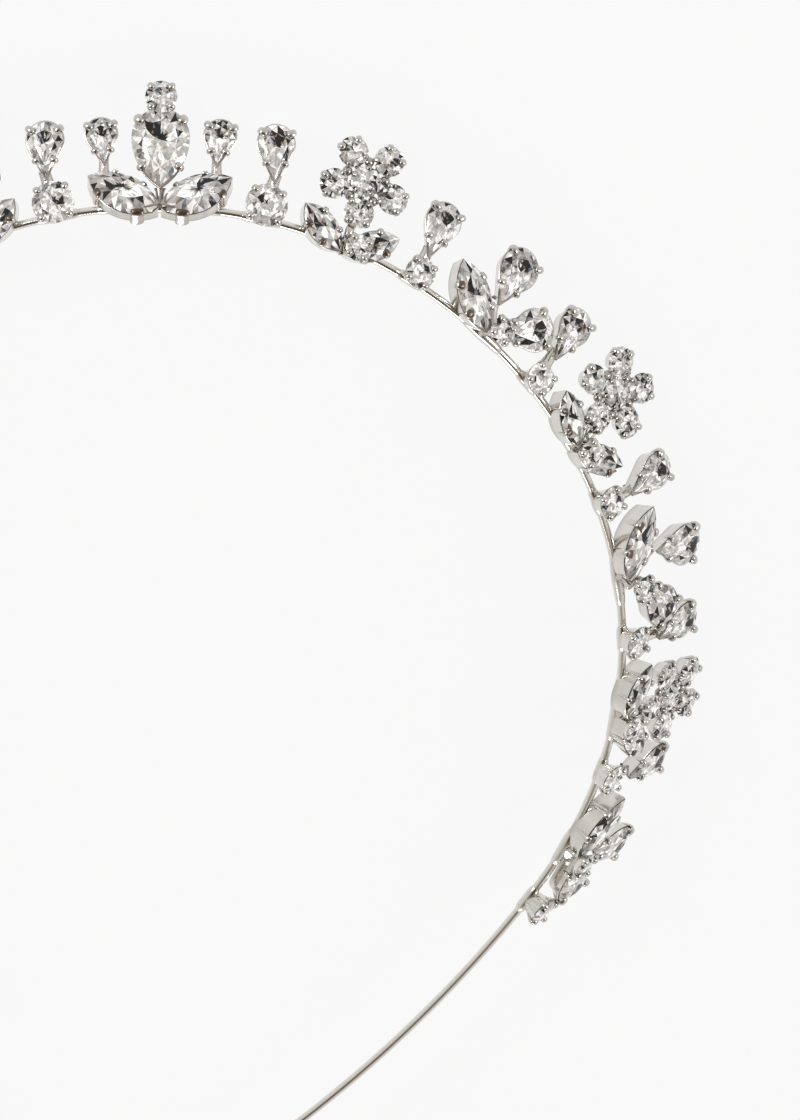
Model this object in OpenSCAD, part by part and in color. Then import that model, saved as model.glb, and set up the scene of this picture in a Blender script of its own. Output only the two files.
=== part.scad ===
// A springy open hair circlet of round wire that carries a crest of claw-set crystals.
// It lies on the tips of its crest, as it rests on a table, with the wire above.
// Millimetres, Z up. The origin is under the middle of the whole thing, on the table.

/* [Circlet] */
// Radius of the front curve of the wire
front_r = 78.8; // [74:0.1:82]
// How far the front curve turns on each side, in degrees
front_turn = 35.4; // [33:0.1:37]
// Radius of the curve over the ears
side_r = 91.6; // [88:0.1:96]
// How far the side curve turns, in degrees
side_turn = 87.7; // [84:0.1:90]
// Radius of the nearly straight tails
tail_r = 256; // [180:2:300]
// Length of each tail
tail_length = 65; // [50:1:75]
// Thickness of the wire
wire_d = 1.5; // [1.3:0.05:1.8]

/* [Crest] */
// How far the crest leans out at the front, in degrees from upright
front_lean = 51; // [48:1:54]
// How many degrees less it leans at the ends of the crest
lean_drop = 16; // [12:1:20]
// How far the two middle leaves lean back against the rest, in degrees
leaf_tilt = 24; // [15:1:26]

/* [Stones] */
// Length of the large drop in the middle
large_pear_l = 14; // [13:0.25:14.5]
// Width of the large drop in the middle
large_pear_w = 10; // [9:0.25:10.5]
// Length of the drops
pear_l = 10; // [9:0.25:10]
// Width of the drops
pear_w = 6; // [5:0.25:7]
// Length of the drops of the sprays
spray_pear_l = 11; // [10:0.25:11.5]
// Width of the drops of the sprays
spray_pear_w = 7; // [6:0.25:7.25]
// Length of the leaves in the middle and the sprays
leaf_l = 13.2; // [12:0.1:13.6]
// Width of the leaves in the middle and the sprays
leaf_w = 6.2; // [5.5:0.1:6.4]
// Length of the leaves under the flowers
small_leaf_l = 10; // [9:0.25:10]
// Width of the leaves under the flowers
small_leaf_w = 5; // [4:0.25:5]
// Diameter of the round stones
round_d = 5.2; // [4.8:0.1:5.3]
// Diameter of the round stones of the flowers
petal_d = 4.8; // [4.4:0.1:4.9]
// Diameter of the round stones at the joints of the stems
joint_d = 4.4; // [4:0.1:4.5]
// Length of the small drops beside the middle
small_pear_l = 8; // [7:0.25:8]
// Width of the small drops beside the middle
small_pear_w = 5; // [4:0.25:5]
// Diameter of the round stones next to the middle
big_round_d = 7.2; // [6.5:0.1:7.4]
// Height of a stone above its girdle, as a share of its width
crown_share = 0.14; // [0.1:0.01:0.16]
// Size of the flat table, as a share of the stone
table_share = 0.6; // [0.5:0.01:0.65]

/* [Settings] */
// Height of the girdles above the middle of the wire
seat = 3.5; // [3.3:0.1:3.8]
// Height of the girdles of the stones that sit in front of the others
front_seat = 5.7; // [5.6:0.1:6]
// Height of the open backs of the cups above the middle of the wire
back = 0.35; // [0.2:0.05:0.5]
// Thickness of a cup's wall
wall = 0.28; // [0.25:0.01:0.32]
// Diameter of a claw
claw_d = 0.65; // [0.6:0.05:0.75]
// Diameter of the ball that ends a claw
ball_d = 1; // [0.9:0.05:1.05]
// Diameter of a stem
stem_d = 1.2; // [1:0.05:1.4]

/* [Hidden] */
$fn = 32;
gap = 0.06;                    // between a stone and its cup
wire_gap = 0.05;               // between the wire and a cup that is seated on it
girdle = 0.12;                 // half the thickness of a stone's edge
lip = 0.12;                    // a cup's rim above the girdle
head_room = 0.85;              // cut clear above a girdle
over = 0.1;                    // by which a cut runs past a face
through = 1;                   // by which a long cup is cut clear behind
outline_points = 24;           // round a long cut
step = 0.004;                  // share of the way round between two points that give a direction
belly_share = 0.35;            // how far a drop's deepest point lies towards its head
pavilion_share = 0.4;          // depth of a stone under its girdle, as a share of its width
back_room = 0.2;               // between a stone and its cup's open back
joint_room = 0.05;             // the same in the cups in front of the others
cone = 0.64;                   // a round cup's back, as a share of its mouth
petal_depth = 2.3;             // of the cups of a flower
tilted_depth = 3.9;            // of the cups of the two middle leaves
joint_depth = 1.3;             // of the cups in front of the others
leaf_back = -0.4;              // open back of a leaf's cup, which straddles the wire
claw_out = 0.47;               // middle of a claw outside the stone's edge
claw_top = 0.6;                // middle of a claw's head above the girdle
claw_down = 2.2;               // how far a claw reaches down a long cup
round_claw_down = 0.6;         // and down a round one
claw_neck = 0.6;               // where its head begins, as a share of the head's radius
claw_head = [[1, -0.2], [1, 0.3], [0.5, 0.8], [0, 0.8]]; // the head's outline: out, up
point_out = 0.5;               // middle of the claw at a drop's point, outside the point
point_down = 1.6;              // how far it reaches down
point_h = 2.1;
bar_l = 2;                     // of the solder bars between a flower's cups
bar_d = 1;
bar_down = 1;                  // below the girdles
stem_level = 1.8;              // height of the stems above the middle of the wire
stem_step = 0.07;              // by which stems that meet differ in level and thickness
stem_into = 0.35;              // where a drop's stem ends in the round cup, as a share of its width
petal_stem_into = 1.5;         // and in a flower's lowest petal
side_stem_l = 2.8;             // of the two stems beside the middle
post_stem_d = 0.9;             // of the stem from a spray's joint to its post
post_d = 1;                    // of the posts under the front stones
post_top = 1;                  // top of a post below the front girdle
top_post_up = 17.5;            // up the crest to the post under the top round
foot_d = 1.8;                  // of the lumps of solder on the wire
foot_h = 2.2;
foot_down = 0.4;               // below the cups' backs
middle_foot_up = 0.4;          // up the crest to the middle lump
wire_r = wire_d / 2;
wire_sides = 10;
wire_rings = 52;               // on each side of the middle
wire_end = [[0.6, 0.8], [0.9, 0.45]]; // its rounded ends: out, thickness, as shares of its radius
longer = 15;                   // by which a curve of the wire runs on past its ends, to be cut out
ring_facets = 24;
curve_facets = 240;
lean_turn = 120;               // turn of the wire by which the lean has dropped
lean_power = 1.5;
metal_colour = [0.78, 0.77, 0.74];
crystal_colour = [0.93, 0.95, 0.97];
deg = 180 / PI;

// The wire's path: a front curve, a side curve and a tail on each side
front_l = front_r * front_turn / deg;
side_l = side_r * side_turn / deg;
tail_turn = tail_length / tail_r * deg;
side_start = front_turn;
tail_start = front_turn + side_turn;
function dir(a) = [sin(a), -cos(a)];
front_c = [0, front_r];
side_c = front_c + (front_r - side_r) * dir(side_start);
tail_c = side_c + (side_r - tail_r) * dir(tail_start);
function heading(l) = l < front_l ? l / front_r * deg : side_start + (l - front_l) / side_r * deg;
function path(l) = l < front_l ? front_c + front_r * dir(heading(l)) : side_c + side_r * dir(heading(l));
function lean(l) = front_lean - lean_drop * pow(heading(l) / lean_turn, lean_power);

// A stone's row: cut, length, width, along the wire, up the crest, turn from upright, seat, tilt back
CUT = 0;
LENGTH = 1;
WIDTH = 2;
ALONG = 3;
UP = 4;
TURN = 5;
SEAT = 6;
TILT = 7;

// place of each group along the wire
flower_places = [32.6, 89.3, 147.9];
drop_places = [18.2, 47.5, 77, 105.3, 133.7, 160.7];
spray_places = [65.9, 123, 178.6];
end_place = 190.4;

// drops: round d, along, up; drop along, up, turn
drops = [
    [big_round_d, 0.1, 1.95, 0, 11.4, -8.4],
    [round_d, 0.3, 1.05, -0.1, 9.6, -3.1],
    [round_d, 0.45, 0.85, -0.6, 10.75, -6.8],
    [round_d, -0.2, 0.6, 0.6, 10.45, -2.5],
    [round_d, -0.15, 0.4, 0.65, 11.05, -3.7],
    [round_d, 0.55, -0.6, 0.15, 9.65, -10.8]
];
// flowers: middle along, up; first leaf along, up, turn; second leaf along, up, turn;
// joint along, up; post along, up
flowers = [
    [0.6, 11.45, -4.05, 0.85, -56.3, 5.6, 0.9, 53.7, 2.9, -0.8, 0.8, -0.3],
    [0.6, 11.55, -2.2, 1.15, -67.4, 7.7, 1.7, 52.6, 4.4, -0.6, 3.0, 0.8],
    [0.2, 11.45, -4.65, 1.1, -59.6, 5.5, 2.1, 54.4, 1.6, -1.4, 0.6, 0.2]
];
// sprays: leaf along, up, turn; upper drop along, up, turn; lower drop along, up, turn;
// joint along, up; post along, up
sprays = [
    [-8.05, 3.05, -57.7, -3.75, 10.75, -3.5, 3.9, 4.75, 44.3, -0.65, 0.95, -0.9, 2.85],
    [-8.4, 3.5, -47.6, -3.05, 12.7, 17.4, 4.74, 5.95, 60.4, -0.6, 0.9, -1.0, 2.85],
    [-6.75, 2.25, -68.8, -1.1, 9.9, 0.2, 4.9, 3.35, 59, -0.3, -0.9, -0.35, 1.2]
];
petal_r = 5.8;
petal_step = 72;
petal_turns = [for (i = [0:4]) 132.5 - petal_step * i];

middle_stones = [
    ["pear", large_pear_l, large_pear_w, 0, 10.1, 0, seat, 0],
    ["joint", round_d, round_d, 0, 19, 0, front_seat, 0],
    ["leaf", leaf_l, leaf_w, -6.6, 2.4, -64, seat, leaf_tilt],
    ["leaf", leaf_l, leaf_w, 6.6, 2.4, 64, seat, leaf_tilt],
    ["drop", small_pear_l, small_pear_w, -10.45, 11.05, -6, seat, 0],
    ["drop", small_pear_l, small_pear_w, 10.45, 11.05, 6, seat, 0]
];
function drop_stones(i) = let (r = drops[i]) [
    ["round", r[0], r[0], r[1], r[2], 0, seat, 0],
    ["drop", pear_l, pear_w, r[3], r[4], r[5], seat, 0]
];
function flower_stones(i) = let (r = flowers[i]) [
    ["petal", petal_d, petal_d, r[0], r[1], 0, seat, 0],
    for (a = petal_turns)
        ["petal", petal_d, petal_d, r[0] + petal_r * cos(a), r[1] + petal_r * sin(a), 90 - a, seat, 0],
    ["leaf", small_leaf_l, small_leaf_w, r[2], r[3], r[4], seat, 0],
    ["leaf", small_leaf_l, small_leaf_w, r[5], r[6], r[7], seat, 0],
    ["joint", joint_d, joint_d, r[8], r[9], 0, front_seat, 0]
];
function spray_stones(i) = let (r = sprays[i]) [
    ["leaf", leaf_l, leaf_w, r[0], r[1], r[2], seat, 0],
    ["drop", spray_pear_l, spray_pear_w, r[3], r[4], r[5], seat, 0],
    ["drop", spray_pear_l, spray_pear_w, r[6], r[7], r[8], seat, 0],
    ["joint", joint_d, joint_d, r[9], r[10], 0, front_seat, 0]
];
end_stones = [["round", round_d, round_d, 0.7, 0.9, 0, seat, 0]];

// Where the tips of the crest touch the table, and how far the whole thing reaches front and back
function reach(l, up, out) = up * cos(lean(l)) - out * sin(lean(l));
function head_up(s) = s[UP] + (s[LENGTH] - s[WIDTH]) / 2 * cos(s[TURN]) + s[WIDTH] / 2 + gap + wall;
tip_petal = flower_stones(2)[2];
tip_drop = spray_stones(1)[1];
petal_back_r = cone * (petal_d / 2 + gap + wall);
petal_reach = reach(flower_places[2], tip_petal[UP] + petal_back_r, seat - petal_depth);
rest_height = max(petal_reach, reach(spray_places[1], head_up(tip_drop), back));
top_round = middle_stones[1];
claw_up = top_round[UP] + (round_d / 2 + claw_out) * cos(45);
front_reach = claw_up * sin(front_lean) + (front_seat + claw_top) * cos(front_lean) + ball_d / 2;
back_reach = tail_c[1] + tail_r * dir(tail_start + tail_turn)[1] + wire_r;
middle_y = (back_reach - front_reach) / 2;

// The radius of a leaf's flank from half its length and half its width
function vesica_r(a, b) = (a * a + b * b) / (2 * b);

// A point of the outline at share k of the way round, from the upper end
function round_point(s, k) = s[WIDTH] / 2 * [sin(360 * k), cos(360 * k)];
function leaf_point(a, b, k) =
    let (r = vesica_r(a, b), h = asin(a / r), side = k < 0.5 ? 1 : -1, q = k < 0.5 ? k : 1 - k,
         t = h * (1 - 4 * q))
    [side * (r * cos(t) - r + b), r * sin(t)];
function pear_point(s, k) =
    let (b = s[WIDTH] / 2, a = s[LENGTH] - b, r = vesica_r(a, b), h = asin(a / r),
         side = k < 0.5 ? 1 : -1, q = k < 0.5 ? k : 1 - k,
         p = q < 0.25 ? b * [sin(360 * q), cos(360 * q)]
             : let (t = h * (4 * q - 1)) [r * cos(t) - r + b, -r * sin(t)])
    [side * p[0], p[1] + s[LENGTH] / 2 - b];
function drop_point(s, k) =
    let (b = s[WIDTH] / 2, a = s[LENGTH] - b, flank = asin(b / a), side = k < 0.5 ? 1 : -1,
         q = k < 0.5 ? k : 1 - k, on_arc = q < 0.3, turn = on_arc ? (90 + flank) * q / 0.3 : 90 + flank,
         arc_end = b * [sin(turn), cos(turn)],
         p = on_arc ? arc_end : arc_end + (q - 0.3) / 0.2 * ([0, -a] - arc_end))
    [side * p[0], p[1] + s[LENGTH] / 2 - b];
function edge_point(s, k) = s[CUT] == "leaf" ? leaf_point(s[LENGTH] / 2, s[WIDTH] / 2, k)
    : s[CUT] == "pear" ? pear_point(s, k)
    : s[CUT] == "drop" ? drop_point(s, k) : round_point(s, k);

// Which way is out at share k; longer at a sharp tip, so that an offset outline keeps its corner
function flank_out(s, k) =
    let (q = edge_point(s, k + step) - edge_point(s, k - step))
    [-q[1], q[0]] / norm(q);
function out_at(s, k) =
    abs(k - 0.5) < 2 * step && !is_round(s) ? [0, 1 / flank_out(s, 0.5 - 2 * step)[1]]
    : abs(k - round(k)) < 2 * step && s[CUT] == "leaf" ? [0, 1 / flank_out(s, 2 * step)[1]]
    : flank_out(s, k);

// The outline of a long cut, offset outwards
module outline(s, more) {
    shares = [for (i = [0:outline_points - 1]) i / outline_points];
    polygon([for (k = shares) edge_point(s, k) + more * out_at(s, k)]);
}

// A cut stone: table, crown, girdle and pavilion
function sides(s) = s[CUT] == "joint" ? 10 : 12;
function pavilion(s) = s[CUT] == "joint" ? joint_depth - joint_room
    : min(pavilion_share * s[WIDTH], seat - back - back_room);
function is_drop(s) = s[CUT] == "pear" || s[CUT] == "drop";
function belly(s) = is_drop(s) ? [0, (s[LENGTH] - s[WIDTH]) * belly_share] : [0, 0];

module cut_stone(s) {
    n = sides(s);
    c = belly(s);
    rim = [for (i = [0:n - 1]) edge_point(s, (i + (is_round(s) ? 0.5 : 0)) / n)];
    table = [for (p = rim) c + table_share * (p - c)];
    points = [
        for (p = table) [p[0], p[1], girdle + crown_share * s[WIDTH]],
        for (p = rim) [p[0], p[1], girdle],
        for (p = rim) [p[0], p[1], -girdle],
        [c[0], c[1], -pavilion(s)]
    ];
    faces = [
        [for (i = [0:n - 1]) i],
        for (i = [0:n - 1], ring = [0, n]) let (j = (i + 1) % n) each [
            [ring + i, ring + n + i, ring + n + j],
            [ring + i, ring + n + j, ring + j]
        ],
        for (i = [0:n - 1]) [2 * n + i, 3 * n, 2 * n + (i + 1) % n]
    ];
    polyhedron(points, faces);
}

// A cup, what is cut out of it, and its claws
function depth(s) = s[CUT] == "joint" ? joint_depth
    : s[CUT] == "petal" ? petal_depth
    : s[TILT] > 0 ? tilted_depth
    : s[CUT] == "leaf" ? s[SEAT] - leaf_back : s[SEAT] - back;
function is_round(s) = s[CUT] == "round" || s[CUT] == "joint" || s[CUT] == "petal";

module cup(s) {
    r = s[WIDTH] / 2 + gap + wall;
    if (is_round(s))
        translate([0, 0, -depth(s)])
            cylinder(r1 = cone * r, r2 = r, h = depth(s) + lip);
    else
        translate([0, 0, -depth(s)])
            linear_extrude(depth(s) + lip)
                outline(s, gap + wall);
}

module bore(s) {
    r = s[WIDTH] / 2 + gap;
    back_r = cone * (r + wall) - wall;
    if (is_round(s))
        rotate_extrude()
            polygon([
                [0, -depth(s) - over],
                [back_r, -depth(s) - over],
                [back_r, -depth(s)],
                [r, -girdle - over],
                [r, head_room],
                [0, head_room]
            ]);
    else
        translate([0, 0, -depth(s) - through])
            linear_extrude(depth(s) + through + head_room)
                outline(s, gap);
}

// A claw stands on the cup's wall at share k of the way round and carries a rounded head
module claw(s, k) {
    foot = edge_point(s, k) + claw_out * flank_out(s, k);
    down = is_round(s) ? round_claw_down : claw_down;
    r = claw_d / 2;
    head = ball_d / 2;
    translate([foot[0], foot[1], 0])
        rotate_extrude()
            polygon([
                [0, -down],
                [r, -down],
                [r, claw_top - head * claw_neck],
                for (q = claw_head) [head * q[0], claw_top + head * q[1]]
            ]);
}

module point_claw(s) {
    translate([0, -s[LENGTH] / 2 - point_out, -point_down])
        cylinder(d = claw_d, h = point_h);
}

claw_shares_round = [0.125, 0.375, 0.625, 0.875];
claw_shares_pear = [0.17, 0.37, 0.63, 0.83];
claw_shares_drop = [0.16, 0.36, 0.64, 0.84];
claw_shares_leaf = [0.155, 0.345, 0.655, 0.845];

module claws(s, shares) {
    for (k = shares)
        claw(s, k);
    if (is_drop(s))
        point_claw(s);
}
function claw_shares(s) = s[CUT] == "pear" ? claw_shares_pear
    : s[CUT] == "drop" ? claw_shares_drop
    : s[CUT] == "leaf" ? claw_shares_leaf : claw_shares_round;

module at_stone(s) {
    translate([s[ALONG], s[UP], s[SEAT]])
        rotate([-s[TILT], 0, 0])
            rotate([0, 0, -s[TURN]])
                children();
}

// A stem between two points of a group's plane, [along, up]
module stem(from, to, level = stem_level, d = stem_d) {
    run = to - from;
    translate([from[0], from[1], level])
        rotate([0, 0, atan2(run[1], run[0])])
            rotate([0, 90, 0])
                cylinder(d = d, h = norm(run));
}

// A short solder bar between a flower's middle cup and a petal's
module petal_bar(from, to) {
    mid = (from + to) / 2;
    half = (to - from) / norm(to - from) * bar_l / 2;
    stem(mid - half, mid + half, seat - bar_down, bar_d);
}

// A post that carries a stone in front of the others
module post(at) {
    translate([at[0], at[1], back])
        cylinder(d = post_d, h = front_seat - post_top - back);
}

// The lump of solder on the wire where the stems of a group come together
module foot(at) {
    translate([at[0], at[1], back - foot_down])
        cylinder(d = foot_d, h = foot_h);
}

// The lower end of a stone, nearest the wire
function low_end(s) = [s[ALONG], s[UP]] - s[LENGTH] / 2 * [sin(s[TURN]), cos(s[TURN])];

// One curve of the wire, a little longer at both ends
module arc(c, r, from, sweep, thick) {
    more = longer / r * deg;
    translate([c[0], c[1], 0])
        rotate([0, 0, from - more - 90])
            rotate_extrude(angle = sweep + 2 * more, $fn = curve_facets)
                translate([r, 0])
                    circle(thick, $fn = ring_facets);
}

// The curve of the wire at a place
module wire_near(l, thick) {
    if (l < front_l)
        arc(front_c, front_r, -front_turn, 2 * front_turn, thick);
    else if (l < front_l + side_l)
        arc(side_c, side_r, side_start, side_turn, thick);
    else
        arc(tail_c, tail_r, tail_start, tail_turn, thick);
}

// The whole wire as one sweep of a ring of points along its path, with rounded ends
half_l = front_l + side_l + tail_length;
function tail_path(l) = tail_c + tail_r * dir(tail_heading(l));
function tail_heading(l) = tail_start + (l - front_l - side_l) / tail_r * deg;
function on_wire(l) = l > front_l + side_l ? tail_path(l) : path(l);
function way(l) = l > front_l + side_l ? tail_heading(l) : heading(l);
function wire_ring(l, r) = let (side = l < 0 ? -1 : 1, p = on_wire(abs(l)), d = dir(way(abs(l))))
    [for (i = [0:wire_sides - 1]) let (a = 360 * i / wire_sides)
        [side * (p[0] + r * cos(a) * d[0]), p[1] + r * cos(a) * d[1], r * sin(a)]];

module wire_sweep() {
    n = wire_sides;
    body = [for (k = [-wire_rings:wire_rings]) [half_l * k / wire_rings, wire_r]];
    nose = [for (q = wire_end) [half_l + wire_r * q[0], wire_r * q[1]]];
    rows = [[-nose[1][0], nose[1][1]], [-nose[0][0], nose[0][1]], each body, each nose];
    last = len(rows) - 1;
    polyhedron(
        [for (row = rows) each wire_ring(row[0], row[1])],
        [
            [for (i = [n - 1:-1:0]) i],
            for (k = [0:last - 1], i = [0:n - 1]) let (j = (i + 1) % n)
                [k * n + i, k * n + j, (k + 1) * n + j, (k + 1) * n + i],
            [for (i = [0:n - 1]) last * n + i]
        ]
    );
}

// Turns what is worn, with the crest up, over onto the table
module worn_to_table() {
    translate([0, -middle_y, rest_height])
        rotate([0, 180, 0])
            children();
}

// Stands at a place along the wire: x along the wire, y up the crest, z out of the crest
module at_place(l) {
    p = path(l);
    translate([p[0], p[1], 0])
        rotate([0, 0, heading(l)])
            rotate([90 + lean(l), 0, 0])
                children();
}

module on_side(side) {
    if (side == "left")
        mirror([1, 0, 0])
            children();
    else
        children();
}

// One soldered group of cups: the cups and stems less the stones and the wire, with the claws
module setting(l, stones, shares) {
    difference() {
        at_place(l)
            difference() {
                union() {
                    for (s = stones)
                        at_stone(s)
                            cup(s);
                    children();
                }
                for (s = stones)
                    at_stone(s)
                        bore(s);
            }
        wire_near(l, wire_r + wire_gap);
    }
    at_place(l)
        for (i = [0:len(stones) - 1])
            at_stone(stones[i])
                claws(stones[i], shares[i]);
}

module stones_of(l, stones) {
    at_place(l)
        for (s = stones)
            at_stone(s)
                cut_stone(s);
}

module drop_setting(i) {
    stones = drop_stones(i);
    below = [stones[0][ALONG], stones[0][UP]];
    tip = low_end(stones[1]);
    run = (tip - below) / norm(tip - below);
    setting(drop_places[i], stones, [for (s = stones) claw_shares(s)])
        stem(tip, below + stones[0][WIDTH] * stem_into * run);
}

module flower_setting(i) {
    r = flowers[i];
    stones = flower_stones(i);
    base = [r[10], r[11]];
    middle = [stones[0][ALONG], stones[0][UP]];
    low_petal = [stones[4][ALONG], stones[4][UP]];
    shares = [for (j = [0:len(stones) - 1])
        j == 0 ? [for (a = petal_turns) (90 - a + petal_step / 2) / 360] : claw_shares(stones[j])];
    setting(flower_places[i], stones, shares) {
        for (j = [1:5])
            petal_bar(middle, [stones[j][ALONG], stones[j][UP]]);
        stem(low_petal - [0, petal_stem_into], base);
        for (j = [6, 7])
            stem(base, low_end(stones[j]), stem_level + stem_step * (j - 5), stem_d - stem_step * (j - 5));
        foot(base);
        post(base);
    }
}

module spray_setting(i) {
    r = sprays[i];
    stones = spray_stones(i);
    base = [r[9], r[10]];
    setting(spray_places[i], stones, [for (s = stones) claw_shares(s)]) {
        for (j = [0:2])
            stem(base, low_end(stones[j]), stem_level + stem_step * j, stem_d - stem_step * j);
        stem(base, [r[11], r[12]], stem_level - stem_step, post_stem_d);
        foot(base);
        post([r[11], r[12]]);
    }
}

module centre_setting_shape() {
    stones = middle_stones;
    setting(0, stones, [for (s = stones) claw_shares(s)]) {
        for (i = [4, 5])
            stem(low_end(stones[i]), low_end(stones[i]) - [0, side_stem_l]);
        stem(low_end(stones[0]), [0, 0]);
        foot([0, middle_foot_up]);
        post([0, top_post_up]);
    }
}

module part_colour(metal) {
    color(metal ? metal_colour : crystal_colour)
        worn_to_table()
            children();
}

// The pieces
module band() {
    part_colour(true)
        wire_sweep();
}

module centre_setting() {
    part_colour(true)
        centre_setting_shape();
}

module centre_stone(i) {
    part_colour(false)
        stones_of(0, [middle_stones[i]]);
}

module side_setting(kind, i, side) {
    part_colour(true)
        on_side(side) {
            if (kind == "drop")
                drop_setting(i - 1);
            if (kind == "flower")
                flower_setting(i - 1);
            if (kind == "spray")
                spray_setting(i - 1);
            if (kind == "end")
                setting(end_place, end_stones, [claw_shares_round]);
        }
}

module side_stones(kind, i, side) {
    part_colour(false)
        on_side(side) {
            if (kind == "drop")
                stones_of(drop_places[i - 1], drop_stones(i - 1));
            if (kind == "flower")
                stones_of(flower_places[i - 1], flower_stones(i - 1));
            if (kind == "spray")
                stones_of(spray_places[i - 1], spray_stones(i - 1));
            if (kind == "end")
                stones_of(end_place, end_stones);
        }
}

band();
centre_setting();
centre_stone(0);  // centre_drop
centre_stone(1);  // centre_top_round
centre_stone(2);  // centre_leaf_left
centre_stone(3);  // centre_leaf_right
centre_stone(4);  // centre_side_drop_left
centre_stone(5);  // centre_side_drop_right
for (side = ["left", "right"]) {
    for (i = [1:6]) {
        side_setting("drop", i, side);
        side_stones("drop", i, side);
    }
    for (i = [1:3]) {
        side_setting("flower", i, side);
        side_stones("flower", i, side);
        side_setting("spray", i, side);
        side_stones("spray", i, side);
    }
    side_setting("end", 1, side);
    side_stones("end", 1, side);
}
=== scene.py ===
"""The looks of a springy open wire circlet with a leaning crest of claw-set clear crystals.

Sizes are in millimetres and become metres where a mesh is made. Each group is laid out along the wire
as worn, and the whole is then turned over onto the table, where it lies face down on the crest's tips.
"""
import math
import random
from collections import namedtuple

import bmesh
import bpy
from mathutils import Matrix, Vector


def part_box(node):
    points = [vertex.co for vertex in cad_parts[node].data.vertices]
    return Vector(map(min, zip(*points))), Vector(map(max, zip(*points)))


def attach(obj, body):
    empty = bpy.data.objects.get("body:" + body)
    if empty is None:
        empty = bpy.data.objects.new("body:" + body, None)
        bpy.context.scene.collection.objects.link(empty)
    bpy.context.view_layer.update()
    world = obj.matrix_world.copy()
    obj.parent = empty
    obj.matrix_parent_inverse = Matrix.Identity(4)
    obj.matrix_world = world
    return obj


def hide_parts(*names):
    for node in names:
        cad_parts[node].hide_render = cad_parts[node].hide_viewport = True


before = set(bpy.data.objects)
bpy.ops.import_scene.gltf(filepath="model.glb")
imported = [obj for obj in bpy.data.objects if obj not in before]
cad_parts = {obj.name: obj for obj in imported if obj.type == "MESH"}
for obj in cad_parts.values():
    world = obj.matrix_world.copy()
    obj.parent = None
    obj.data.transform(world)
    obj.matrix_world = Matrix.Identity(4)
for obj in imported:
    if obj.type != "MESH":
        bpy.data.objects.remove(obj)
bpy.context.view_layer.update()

MM = 0.001
DEG = math.pi / 180

# The wire's path: a front curve, a curve over the ear and a tail on each side
FRONT_R, FRONT_TURN = 78.8, 35.4
SIDE_R, SIDE_TURN = 91.6, 87.7
TAIL_R, TAIL_LENGTH = 256.0, 65.0
WIRE_R = 0.75

# How the crest leans out: at the front, how much less at its ends, and how that eases in between. The
# middle leaves lean back against it
FRONT_LEAN, LEAN_DROP, LEAN_END_HEADING, LEAN_POWER = 51.0, 16.0, 120.0, 1.5
LEAF_TILT = 24.0

# Seats above the wire's middle, the cups' open backs, and the depths of cups that stop short of them
SEAT, FRONT_SEAT, BACK, LEAF_BACK = 3.5, 5.7, 0.35, -0.4
JOINT_DEPTH, PETAL_DEPTH, TILTED_DEPTH = 1.3, 2.3, 3.9

# Cups: play round the stone, the wall, the thicker wall round a drop's head, the share of the way round
# in which that thins to the point, and the lip above the seat
GAP, WALL, DROP_WALL, DROP_TAPER, LIP = 0.06, 0.28, 0.56, 0.2, 0.12
RIM_POINTS = 40

# How much the cups narrow to their backs, and how far the middle leaves' edges come down to the wire
ROUND_NARROWS, LEAF_NARROWS, DROP_NARROWS = 0.36, 0.16, 0.28
LOW_EDGE = 1.9

# Stems, necks and posts between the cups: levels above the wire's middle, half widths and lengths
STEM_LEVEL, PETAL_STEM_LEVEL, POST_TOP = 1.8, SEAT - 1, FRONT_SEAT - 1
STEM_R, PETAL_STEM_R, NECK_R, SIDE_NECK_R, POST_R = 0.6, 0.5, 1.0, 0.8, 0.5
NECK_TOP, NECK_FOOT_SHARE, SIDE_NECK_LENGTH = 1.7, 0.35, 2.6

# How much wider stems are at their ends, across and at most through, and necks behind their drops
STEM_FLARE, FLAT_FLARE, NECK_FLARE = 1.8, 1.2, 1.1

# How far up the crest the post behind the large drop's head stands
TOP_POST_UP = 17.5

# How far solder runs on the wire: past a flower's leaves, from a spray's leaf to past its middle, and to
# each side of the circlet's middle and of the last round
FLOWER_SOLDER, SPRAY_SOLDER, MIDDLE_SOLDER, END_SOLDER = (-1.5, 1.0), (2.5, 3.5), 11.0, 2.8

# Cut stones: half the girdle, how far the keel stays off the cup's back, shares of a stone's width, and
# how far up a drop is widest, as a share of what it is longer than wide
GIRDLE, KEEL_CLEAR, CROWN_SHARE, KEEL_SHARE, BELLY_SHARE = 0.12, 0.25, 0.14, 0.4, 0.3

# Facets: shares of the way out from the middle, of the table, and of the crown's and the back's height
TABLE_SHARE, BACK_SHARE, FLANK_SHARE = 0.58, 0.95, 0.45
PIP_SHARE, INNER_SHARE, OUTER_SHARE = 0.3, 0.5, 0.86
STAR_RISE, FLANK_FALL = 0.62, 0.6
FACETS, LARGE_FACETS, LARGE_STONE = 8, 12, 12.0

# Length and width of each cut
LARGE_PEAR = (14.0, 10.0)
DROP = (10.0, 6.0)
SPRAY_DROP = (11.0, 7.0)
SMALL_DROP = (8.0, 5.0)
LEAF = (13.2, 6.2)
SMALL_LEAF = (10.0, 5.0)
ROUND_D, PETAL_D, JOINT_D, BIG_ROUND_D = 5.2, 4.8, 4.4, 7.2

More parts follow.
